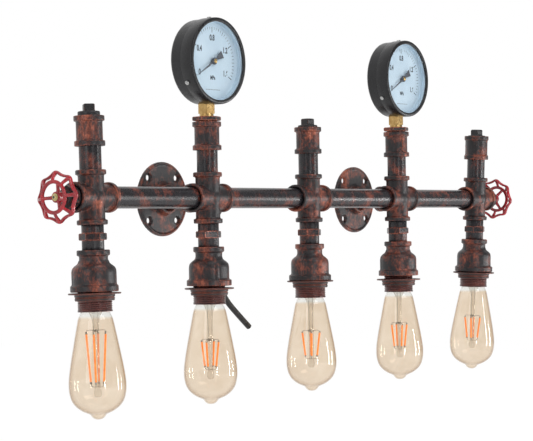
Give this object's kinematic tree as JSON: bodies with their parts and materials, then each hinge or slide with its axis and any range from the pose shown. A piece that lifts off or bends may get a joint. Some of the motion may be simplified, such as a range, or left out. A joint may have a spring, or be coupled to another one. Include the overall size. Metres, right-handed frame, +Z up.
{
  "type": "industrial pipe wall light",
  "caption": "Wall light built of black pipe fittings in a row, with hanging pear-shaped filament bulbs, dial gauges above and red valve handwheels at the ends.",
  "frame": {"origin": "on the wall plane, at the height of the run of pipe and midway between the two wall flanges", "axes": "+X along the run to the right as seen from the room, +Y into the wall, +Z up"},
  "size_m": [0.9504, 0.1123, 0.4669],
  "materials": {
    "iron": "blackened, edges rubbed to copper red",
    "sleeve_brown": "dark red-brown, satin",
    "ceramic": "glazed",
    "brass": "satin",
    "steel": "zinc plated",
    "cap_metal": "satin",
    "amber_glass": "clear, amber",
    "clear_glass": "clear",
    "filament": "phosphor coated",
    "gauge_black": "satin black",
    "dial": "matt, printed scale",
    "pointer": "satin",
    "wheel_red": "gloss enamel",
    "rubber": "matt",
    "lead_sheath": "matt",
    "wire": "insulated"
  },
  "bodies": {
    "pipework": {"four_way_crosses": "iron", "five_way_crosses": "iron", "run_pipes": "iron", "upper_nipples": "iron", "pipe_couplings": "iron", "square_plugs": "iron", "hex_nipples": "iron", "bell_reducers": "iron", "rear_nipples": "iron", "wall_flanges": "iron", "gauge_bushings": "iron", "handwheel_bonnets": "iron", "lampholder_sleeves": "sleeve_brown", "lampholder_insulators": "ceramic", "screw_shells": "brass", "holder_contacts": "brass", "gauge_stems": "brass", "gauge_pots": "gauge_black", "gauge_bezels": "gauge_black", "gauge_windows": "clear_glass", "gauge_dials": "dial", "bezel_screws": "steel", "bourdon_tubes": "brass", "movement_frames": "brass", "mains_lead": "lead_sheath", "lead_grommet": "rubber", "internal_wiring": "wire"},
    "shade_ring_1": {"shade_ring_1": "iron"},
    "bulb_1": {"bulb_glass_1": "amber_glass", "bulb_cap_1": "cap_metal", "filament_mount_1": "filament"},
    "shade_ring_2": {"shade_ring_2": "iron"},
    "bulb_2": {"bulb_glass_2": "amber_glass", "bulb_cap_2": "cap_metal", "filament_mount_2": "filament"},
    "shade_ring_3": {"shade_ring_3": "iron"},
    "bulb_3": {"bulb_glass_3": "amber_glass", "bulb_cap_3": "cap_metal", "filament_mount_3": "filament"},
    "shade_ring_4": {"shade_ring_4": "iron"},
    "bulb_4": {"bulb_glass_4": "amber_glass", "bulb_cap_4": "cap_metal", "filament_mount_4": "filament"},
    "shade_ring_5": {"shade_ring_5": "iron"},
    "bulb_5": {"bulb_glass_5": "amber_glass", "bulb_cap_5": "cap_metal", "filament_mount_5": "filament"},
    "handwheel_left": {"handwheel_left": "wheel_red", "wheel_spindle_left": "steel", "wheel_screw_left": "steel"},
    "handwheel_right": {"handwheel_right": "wheel_red", "wheel_spindle_right": "steel", "wheel_screw_right": "steel"},
    "pointer_left": {"gauge_pointer_left": "pointer"},
    "sector_left": {"sector_gear_left": "brass"},
    "pointer_right": {"gauge_pointer_right": "pointer"},
    "sector_right": {"sector_gear_right": "brass"}
  },
  "joints": [
    {"name": "shade_ring_1_screw_down", "type": "slide", "parent": "pipework", "child": "shade_ring_1", "axis": [0, -0.0227, -0.9997], "range_m": [0, 0.0119]},
    {"name": "bulb_1_unscrew", "type": "slide", "parent": "pipework", "child": "bulb_1", "axis": [0, -0.0227, -0.9997], "range_m": [0, 0.024]},
    {"name": "shade_ring_2_screw_down", "type": "slide", "parent": "pipework", "child": "shade_ring_2", "axis": [0, 0, -1], "range_m": [0, 0.0104]},
    {"name": "bulb_2_unscrew", "type": "slide", "parent": "pipework", "child": "bulb_2", "axis": [0, 0, -1], "range_m": [0, 0.024]},
    {"name": "shade_ring_3_screw_down", "type": "slide", "parent": "pipework", "child": "shade_ring_3", "axis": [0, 0, -1], "range_m": [0, 0.0126]},
    {"name": "bulb_3_unscrew", "type": "slide", "parent": "pipework", "child": "bulb_3", "axis": [0, 0, -1], "range_m": [0, 0.024]},
    {"name": "shade_ring_4_screw_down", "type": "slide", "parent": "pipework", "child": "shade_ring_4", "axis": [0, 0, -1], "range_m": [0, 0.0084]},
    {"name": "bulb_4_unscrew", "type": "slide", "parent": "pipework", "child": "bulb_4", "axis": [0, 0, -1], "range_m": [0, 0.024]},
    {"name": "shade_ring_5_screw_down", "type": "slide", "parent": "pipework", "child": "shade_ring_5", "axis": [0, 0.0454, -0.999], "range_m": [0, 0.0119]},
    {"name": "bulb_5_unscrew", "type": "slide", "parent": "pipework", "child": "bulb_5", "axis": [0, 0.0454, -0.999], "range_m": [0, 0.024]},
    {"name": "handwheel_left_turn", "type": "hinge", "parent": "pipework", "child": "handwheel_left", "pos_m": [-0.466, -0.075, 0], "axis": [-1, 0, 0], "continuous": true},
    {"name": "handwheel_right_turn", "type": "hinge", "parent": "pipework", "child": "handwheel_right", "pos_m": [0.466, -0.075, 0], "axis": [1, 0, 0], "continuous": true},
    {"name": "pointer_left_turn", "type": "hinge", "parent": "pipework", "child": "pointer_left", "pos_m": [-0.206, -0.075, 0.1643], "axis": [0, 1, 0], "range_deg": [0, 240]},
    {"name": "sector_left_turn", "type": "hinge", "parent": "pipework", "child": "sector_left", "pos_m": [-0.206, -0.075, 0.1427], "axis": [0, 1, 0], "range_deg": [-30, 0]},
    {"name": "pointer_right_turn", "type": "hinge", "parent": "pipework", "child": "pointer_right", "pos_m": [0.206, -0.075, 0.1643], "axis": [0, 1, 0], "range_deg": [0, 240]},
    {"name": "sector_right_turn", "type": "hinge", "parent": "pipework", "child": "sector_right", "pos_m": [0.206, -0.075, 0.1427], "axis": [0, 1, 0], "range_deg": [-30, 0]}
  ],
  "couplings": [
    {"joint": "sector_left_turn", "follows": "pointer_left_turn", "ratio": -0.125},
    {"joint": "sector_right_turn", "follows": "pointer_right_turn", "ratio": -0.125}
  ]
}
